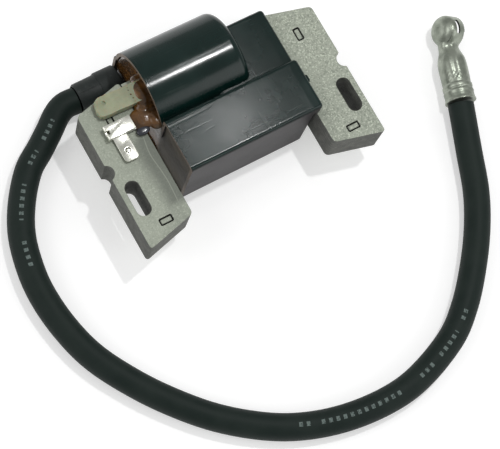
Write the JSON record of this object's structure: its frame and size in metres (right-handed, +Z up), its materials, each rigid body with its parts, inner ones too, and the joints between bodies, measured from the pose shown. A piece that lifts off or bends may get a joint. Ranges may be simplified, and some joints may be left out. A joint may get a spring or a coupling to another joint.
{
  "type": "ignition coil",
  "caption": "ignition coil of a small engine: laminated U armature with slotted legs, potted coil and module, high-tension lead and plug terminal",
  "frame": {"origin": "middle of the underside of the armature and housing, on the surface they rest on", "axes": "X along the coil and crossbar, from the open potted end to the right leg; -Y towards the pole tips; +Z up, square to the laminations"},
  "size_m": [0.1572, 0.1289, 0.0286],
  "materials": {
    "electrical_steel": "punched electrical steel, matt with rolled grain",
    "housing_plastic": "moulded thermoset, glossy with handling scratches",
    "potting_resin": "amber potting resin, glossy",
    "nylon": "natural nylon, translucent and satin",
    "bobbin_plastic": "glass-filled nylon",
    "insulation_tape": "polyester winding tape",
    "copper_wire": "enamelled copper wire, wound",
    "board": "glass-epoxy board",
    "semiconductor": "moulded epoxy body",
    "capacitor_body": "dipped film capacitor",
    "resistor_body": "lacquered resistor",
    "tinned_steel": "bright tin plate",
    "plated_steel": "plated steel, polished and handled",
    "spring_steel": "spring wire",
    "boot_rubber": "moulded rubber, dull",
    "lead_rubber": "extruded rubber cable jacket, satin"
  },
  "bodies": {
    "root": {"left_leg_laminations": "electrical_steel", "right_leg_laminations": "electrical_steel", "crossbar_laminations": "electrical_steel", "coil_housing": "housing_plastic", "potting_block": "potting_resin", "terminal_seat": "potting_resin", "nylon_wedge": "nylon", "primary_bobbin": "bobbin_plastic", "secondary_bobbin": "bobbin_plastic", "interlayer_insulation": "insulation_tape", "primary_winding": "copper_wire", "secondary_winding_1": "copper_wire", "secondary_winding_2": "copper_wire", "secondary_winding_3": "copper_wire", "secondary_winding_4": "copper_wire", "circuit_board": "board", "power_transistor": "semiconductor", "control_transistor": "semiconductor", "zener_diode": "semiconductor", "film_capacitor": "capacitor_body", "resistor_1": "resistor_body", "resistor_2": "resistor_body", "kill_terminal": "tinned_steel", "lead_boot": "boot_rubber", "ht_lead": "lead_rubber", "crimp_barrel": "plated_steel", "plug_cup": "plated_steel", "plug_spring_clip": "spring_steel"}
  },
  "joints": []
}
